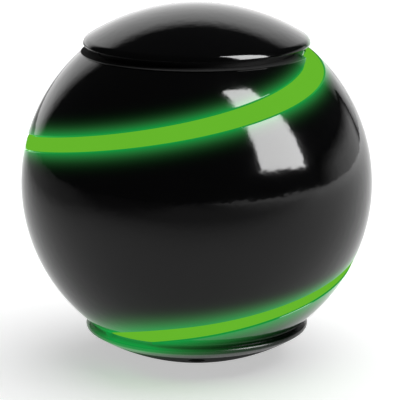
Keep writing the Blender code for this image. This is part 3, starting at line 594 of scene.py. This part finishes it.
def turnLiner():
    low, high = linerLow.z, linerHigh.z
    plate, skirt, top = centreZ + 40.4 * mm, centreZ + 36.5 * mm, centreZ + 34.4 * mm
    out, inside, hub = liner["skirtOut"], liner["skirtIn"], liner["hubR"]
    profile = [
        (0.5 * mm, low), (hub - 0.3 * mm, low), (hub, low + 0.3 * mm), (hub, plate - 1.2 * mm),
        (8.4 * mm, plate), (inside, plate), (inside, skirt + 0.2 * mm), (inside + 0.2 * mm, skirt),
        (out - 0.3 * mm, skirt),
        (out, skirt + 0.3 * mm), (out, high - 0.2 * mm), (out - 0.2 * mm, high), (0.5 * mm, high),
    ]
    piece = turnUp("liner_skin", profile, liner["sides"])
    closePole(piece, low, 0.5 * mm)
    closePole(piece, high, 0.5 * mm)
    makeSound(piece)
    cutWith(piece, rod(liner["socket"], low - 1 * mm, top, 0, 0, 6))
    cutWith(piece, rod(4.9 * mm, top - 0.6 * mm, centreZ + 37.8 * mm, 0, 0, 72))
    for x, y in screwPlaces(liner["screwR"]):
        cutWith(piece, rod(liner["holeR"], plate - 1 * mm, high + 1 * mm, x, y))
    return piece


linerSkin = turnLiner()
finishPiece(linerSkin, finishes["lead_black"], "cap_body", "gloss_black", 32, "top_cap_liner")


# ---- base dish, foot ring and battery door

base = {
    "wall": 2.0 * mm, "neckOut": 29.6 * mm, "neckIn": 28.2 * mm, "sides": 192,
    "rimZ": centreZ - 40.6 * mm, "rimRound": 1.0 * mm, "screwR": 25.0 * mm, "wellR": 2.4 * mm,
    "wellTop": centreZ - 41.5 * mm, "bossR": 3.4 * mm, "holeR": 1.2 * mm,
}
footLow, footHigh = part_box("foot_ring")
doorLow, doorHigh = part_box("battery_door")


def turnBase():
    flatZ = dishLow.z
    crownR, crownZ = cap["crownR"], 2 * centreZ - cap["crownZ"]
    flatR = math.sqrt(crownR ** 2 - (flatZ - crownZ) ** 2)
    floorZ = flatZ + 1.9 * mm
    innerR = crownR - base["wall"]
    floorR = math.sqrt(innerR ** 2 - (floorZ - crownZ) ** 2)
    outer = crownProfile(dishHigh.x - 0.01 * mm, base["rimZ"], crownR, base["rimRound"], 40, -1)
    outer = [p for p in outer if p[0] > flatR + 0.8 * mm]
    inner = crownProfile(dishHigh.x - base["wall"], base["rimZ"], innerR, base["rimRound"], 16, -1)
    inner = [p for p in inner if floorR + 1 * mm < p[0] < base["neckIn"] - 0.2 * mm]
    ringOut, ringIn, ringZ = footHigh.x + 0.3 * mm, 10.3 * mm, flatZ + 0.7 * mm
    doorR, doorZ = doorHigh.x + 0.3 * mm, flatZ + 0.9 * mm
    neckTop = dishHigh.z
    profile = [
        (base["neckOut"], neckTop), (base["neckOut"], outer[0][1]), *outer,
        (flatR + 0.2 * mm, flatZ + 0.01 * mm),
        (flatR - 0.6 * mm, flatZ), (ringOut + 0.2 * mm, flatZ), (ringOut, flatZ + 0.2 * mm), (ringOut, ringZ),
        (ringIn, ringZ), (ringIn, flatZ + 0.15 * mm), (ringIn - 0.12 * mm, flatZ),
        (doorR + 0.12 * mm, flatZ), (doorR, flatZ + 0.12 * mm), (doorR, doorZ), (7.6 * mm, doorZ),
        (7.6 * mm, floorZ), (floorR, floorZ), *reversed(inner), (base["neckIn"], centreZ - 41 * mm),
        (base["neckIn"], neckTop), (base["neckOut"], neckTop),
    ]
    piece = turnUp("base_bowl", profile, base["sides"])
    makeSound(piece)
    for x, y in screwPlaces(base["screwR"]):
        cutWith(piece, rod(base["bossR"], centreZ - 43.6 * mm, neckTop, x, y), "UNION")
        cutWith(piece, rod(base["holeR"], centreZ - 50 * mm, centreZ - 37 * mm, x, y))
        cutWith(piece, rod(base["wellR"], centreZ - 52 * mm, base["wellTop"], x, y))
    return piece


baseBowl = turnBase()
finishPiece(baseBowl, lacquerBase, "ball_body", "gloss_black", 32, "base_dish")

low, high, inR, outR = footLow.z, footHigh.z, 10.6 * mm, footHigh.x
footProfile = [
    (inR, high), (inR, low + 0.4 * mm), (inR + 0.12 * mm, low + 0.12 * mm), (inR + 0.4 * mm, low),
    (outR - 0.4 * mm, low), (outR - 0.12 * mm, low + 0.12 * mm), (outR, low + 0.4 * mm), (outR, high),
    (inR, high),
]
foot = turnUp("foot_pad", footProfile, 128)
makeSound(foot)
finishPiece(foot, finishes["rubber"], "ball_body", "rubber", 50, "foot_ring")


def turnDoor():
    low, flange, r = doorLow.z, doorLow.z + 0.55 * mm, doorHigh.x
    top, lugZ = doorLow.z + 1.5 * mm, doorHigh.z
    profile = [
        (0.5 * mm, top), (6.1 * mm, top), (6.1 * mm, lugZ), (7.3 * mm, lugZ), (7.3 * mm, flange),
        (r - 0.12 * mm, flange), (r, flange - 0.12 * mm), (r, low + 0.2 * mm),
        (r - 0.06 * mm, low + 0.06 * mm),
        (r - 0.2 * mm, low), (r - 1.2 * mm, low), (0.5 * mm, low),
    ]
    piece = turnUp("cell_door", profile, 128)
    closePole(piece, top, 0.5 * mm)
    closePole(piece, low, 0.5 * mm)
    makeSound(piece)
    clearSelection()
    bpy.ops.mesh.primitive_cube_add(size=1, location=(0, 0, low), scale=(9.0 * mm, 2.0 * mm, 1.6 * mm))
    slotTool = bpy.context.object
    bpy.ops.object.transform_apply(location=True, scale=True)
    cutWith(piece, slotTool)
    for side in (-1, 1):
        cutWith(piece, rod(1.0 * mm, low - 1 * mm, low + 0.8 * mm, side * 4.5 * mm, 0, 24))
    return piece


cellDoor = turnDoor()
finishPiece(cellDoor, lacquerPlain, "door_body", "gloss_black", 32)
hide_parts("battery_door")


# ---- steel ball

steelLow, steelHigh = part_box("steel_ball")
clearSelection()
steelR = (steelHigh.x - steelLow.x) / 2
bpy.ops.mesh.primitive_cube_add(size=steelR, location=(steelLow + steelHigh) / 2)
bearing = bpy.context.object
bearing.name = "bearing_ball"
bpy.ops.object.mode_set(mode="EDIT")
bpy.ops.mesh.select_all(action="SELECT")
bpy.ops.mesh.subdivide(number_cuts=15)
bpy.ops.transform.tosphere(value=1)
bpy.ops.object.mode_set(mode="OBJECT")
bpy.ops.object.transform_apply(location=True)
middle = (steelLow + steelHigh) / 2
for v in bearing.data.vertices:
    v.co = middle + (v.co - middle).normalized() * steelR * 0.999
finishPiece(bearing, finishes["steel"], "steel_ball_body", "steel", 60, "steel_ball")


# ---- floor, light and camera

studio = {
    "floorSize": 9.0, "floorGlow": 0.62, "keyGlow": 1.9, "windowGlow": 27.0, "backGlow": 1.5, "sideGlow": 1.1,
    "room": 0.03, "floorPaintedShade": 0.3, "rightGlow": 2.6, "windowD": 1.2, "windowTurn": 29.5,
    "windowSide": 0.65, "windowRise": 1.465, "windowWide": 0.88, "windowTall": 2.41, "windowEdge": 0.05,
}

clearSelection()
bpy.ops.mesh.primitive_plane_add(size=studio["floorSize"], location=(0, 0, -0.00005))
floor = bpy.context.object
floor.name = "floor"
floorBoard = Board("pale_floor", roughness=0.9, specular=0.1)
floorX, floorY, _ = floorBoard.xyz()
# painted shade: the floor's colour is darker towards the front and towards the left
lit = floorY.ramp(-0.30, -0.05, studio["floorPaintedShade"], 1.0)
lit = lit * floorX.ramp(-0.40, -0.07, studio["floorPaintedShade"], 1.0)
floorWhite = floorBoard.mix(floorBoard.noise(3), rgb(0.80, 0.80, 0.80), rgb(0.82, 0.82, 0.82))
floorTone = floorBoard.mix(lit, rgb(0, 0, 0), floorWhite)
floorBoard.set("Base Color", floorTone)
rightTone = rgb(studio["rightGlow"], studio["rightGlow"], studio["rightGlow"])
floorShine = floorBoard.mix(floorX.ramp(0.1, 1.2), floorTone, rightTone)
floorBoard.set("Emission Color", floorShine)          # painted light: the floor's own glow, brighter towards the right, keeps the shadow pale
floorBoard.set("Emission Strength", studio["floorGlow"])
floor.data.materials.append(floorBoard.material)


def softPanel(name, place, target, width, height, glow, fade):  # seen only in reflections, with faded edges
    clearSelection()
    bpy.ops.mesh.primitive_plane_add(size=1)
    panel = bpy.context.object
    panel.name = name
    panel.scale = (width, height, 1)
    bpy.ops.object.transform_apply(scale=True)
    panel.location = place
    panel.rotation_euler = (Vector(target) - Vector(place)).to_track_quat("-Z", "Y").to_euler()
    panel.visible_camera = panel.visible_diffuse = panel.visible_shadow = False
    board = Board(name + "_light", specular=0.0, roughness=1.0)
    apart = board.tree.nodes.new("ShaderNodeSeparateXYZ")
    board.join(board.place, apart.inputs[0])
    x, y = Wire(board, apart.outputs[0]), Wire(board, apart.outputs[1])
    left, right, low, high = fade
    inside = (x + width / 2).ramp(0, left) * (width / 2 - x).ramp(0, right)
    inside = inside * (y + height / 2).ramp(0, low) * (height / 2 - y).ramp(0, high)
    board.set("Base Color", rgb(0, 0, 0))
    board.set("Emission Color", board.mix(inside, rgb(0, 0, 0), rgb(1, 1, 1)))
    board.set("Emission Strength", glow)
    panel.data.materials.append(board.material)


def keyLight(place, target, size, glow):
    lampData = bpy.data.lights.new("key_soft", "AREA")
    lampData.shape, lampData.size = "SQUARE", size
    lampData.energy = glow * math.pi * size * size
    lamp = bpy.data.objects.new("key_soft", lampData)
    sceneNow.collection.objects.link(lamp)
    lamp.location = place
    lamp.rotation_euler = (Vector(target) - Vector(place)).to_track_quat("-Z", "Y").to_euler()
    lamp.visible_glossy = False


def around(azimuth, distance, z):  # azimuth 0 is in front of the ball, 90 on its right
    a = math.radians(azimuth)
    return Vector((distance * math.sin(a), -distance * math.cos(a), z))


keyLight((0.35, 0.25, 1.3), (0.15, 0.1, 0), 2.0, studio["keyGlow"])
windowD, windowTurn = studio["windowD"], math.radians(studio["windowTurn"])
across = Vector((math.cos(windowTurn), math.sin(windowTurn), 0))
facing = around(studio["windowTurn"], windowD, 0)
rise = Vector((0, 0, centreZ + studio["windowRise"] * windowD))
windowMiddle = facing + across * (studio["windowSide"] * windowD) + rise
softPanel("window", windowMiddle, windowMiddle - facing, studio["windowWide"] * windowD,
          studio["windowTall"] * windowD, studio["windowGlow"], (studio["windowEdge"],) * 4)
softPanel("back_wall", (-0.15, 1.7, 1.05), (-0.15, 0, 1.05), 3.8, 2.1, studio["backGlow"],
          (1.3, 0.9, 0.02, 0.75))
softPanel("side_wall", around(115, 1.7, 0.22), (0, 0, 0.22), 2.0, 0.5, studio["sideGlow"],
          (0.9, 0.3, 0.02, 0.3))

world = bpy.data.worlds.new("dim_room")
world.use_nodes = True
world.node_tree.nodes["Background"].inputs["Color"].default_value = rgb(0.9, 0.95, 1.0)
world.node_tree.nodes["Background"].inputs["Strength"].default_value = studio["room"]
sceneNow.world = world
sceneNow.view_settings.view_transform = "Standard"

view = {"distance": 0.704, "elevation": 13.0, "lens": 222.0, "shift": (0.0081, -0.0451)}
lens = bpy.data.cameras.new("camera")
lens.lens, lens.sensor_width = view["lens"], 36
lens.shift_x, lens.shift_y = view["shift"]
lens.clip_start, lens.clip_end = 0.01, 20
camera = bpy.data.objects.new("camera", lens)
sceneNow.collection.objects.link(camera)
tilt = math.radians(view["elevation"])
camera.location = ballCentre + Vector((0, -math.cos(tilt), math.sin(tilt))) * view["distance"]
camera.rotation_euler = (math.pi / 2 - tilt, 0, 0)
sceneNow.camera = camera
print("stage set")
